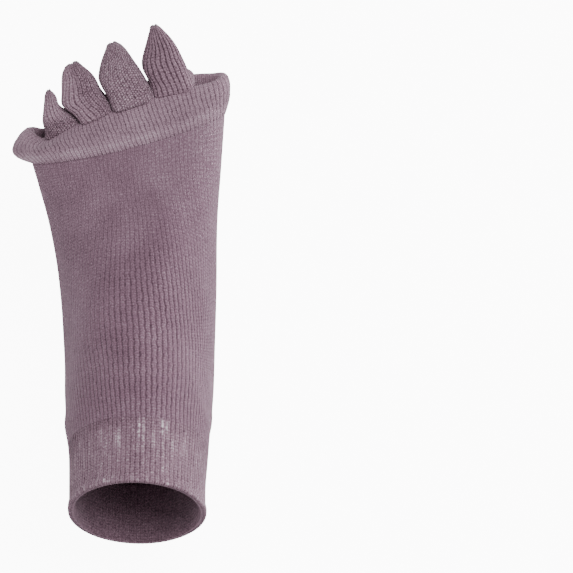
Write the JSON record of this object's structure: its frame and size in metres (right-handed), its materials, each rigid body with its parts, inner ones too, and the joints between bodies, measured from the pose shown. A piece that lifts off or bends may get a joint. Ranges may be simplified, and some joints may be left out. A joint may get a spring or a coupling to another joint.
{
  "type": "toe sock",
  "caption": "Knitted toe-separating sock for a left foot, with a ribbed cuff, an open-ended foot tube, a padded toe band and padded dividers between the toes.",
  "frame": {"origin": "centre of the leg opening, where the leg that wears the sock comes in", "axes": "+Y runs from the leg opening into the sock and on towards the toes, +Z points to the front of the ankle, +X to the big toe's side. The foot is pointed, so its sole climbs 40 degrees from the leg's line."},
  "size_m": [0.1074, 0.2432, 0.1481],
  "materials": {
    "cuff_knit": "ribbed mauve knit, matt",
    "tube_knit": "plain mauve knit, matt",
    "band_knit": "padded mauve knit, matt",
    "divider_knit": "nubby padded mauve knit, matt"
  },
  "bodies": {
    "root": {"cuff": "cuff_knit", "foot_tube": "tube_knit", "toe_band": "band_knit", "toe_divider_1": "divider_knit", "toe_divider_2": "divider_knit", "toe_divider_3": "divider_knit", "toe_divider_4": "divider_knit"}
  },
  "joints": []
}
